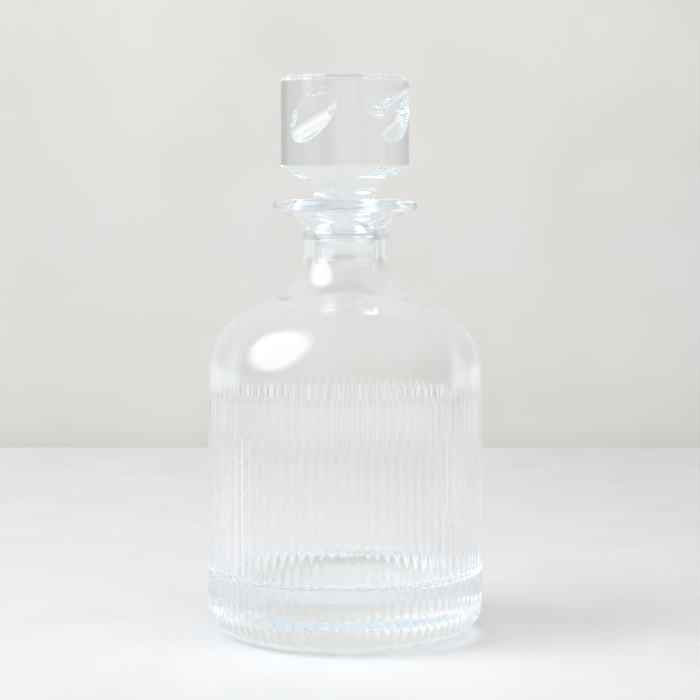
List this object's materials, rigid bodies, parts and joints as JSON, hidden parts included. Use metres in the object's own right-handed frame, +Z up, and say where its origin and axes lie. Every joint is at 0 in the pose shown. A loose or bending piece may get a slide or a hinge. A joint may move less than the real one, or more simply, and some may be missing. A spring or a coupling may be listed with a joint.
{
  "type": "decanter",
  "caption": "Clear glass decanter with a ribbed straight barrel, rounded shoulder, flared lip and a solid lift-out glass stopper with a seal ring.",
  "frame": {"origin": "middle of the flat underside, on the surface that the decanter stands on", "axes": "+Z up along the decanter's axis, -Y towards the viewer of the picture, +X to the viewer's right"},
  "size_m": [0.114, 0.114, 0.2312],
  "materials": {
    "vessel_glass": "clear, fire polished, with moulded ribs",
    "stopper_glass": "clear, cut and polished",
    "clear_silicone": "clear, satin"
  },
  "bodies": {
    "vessel": {"vessel": "vessel_glass"},
    "seal": {"stopper_seal": "clear_silicone"},
    "stopper": {"stopper": "stopper_glass"}
  },
  "joints": [
    {"name": "stopper_lift", "type": "slide", "parent": "vessel", "child": "seal", "axis": [0, 0, 1], "range_m": [0, 0.08]},
    {"name": "stopper_turn", "type": "hinge", "parent": "seal", "child": "stopper", "pos_m": [0, 0, 0.167], "axis": [0, 0, 1], "continuous": true}
  ]
}
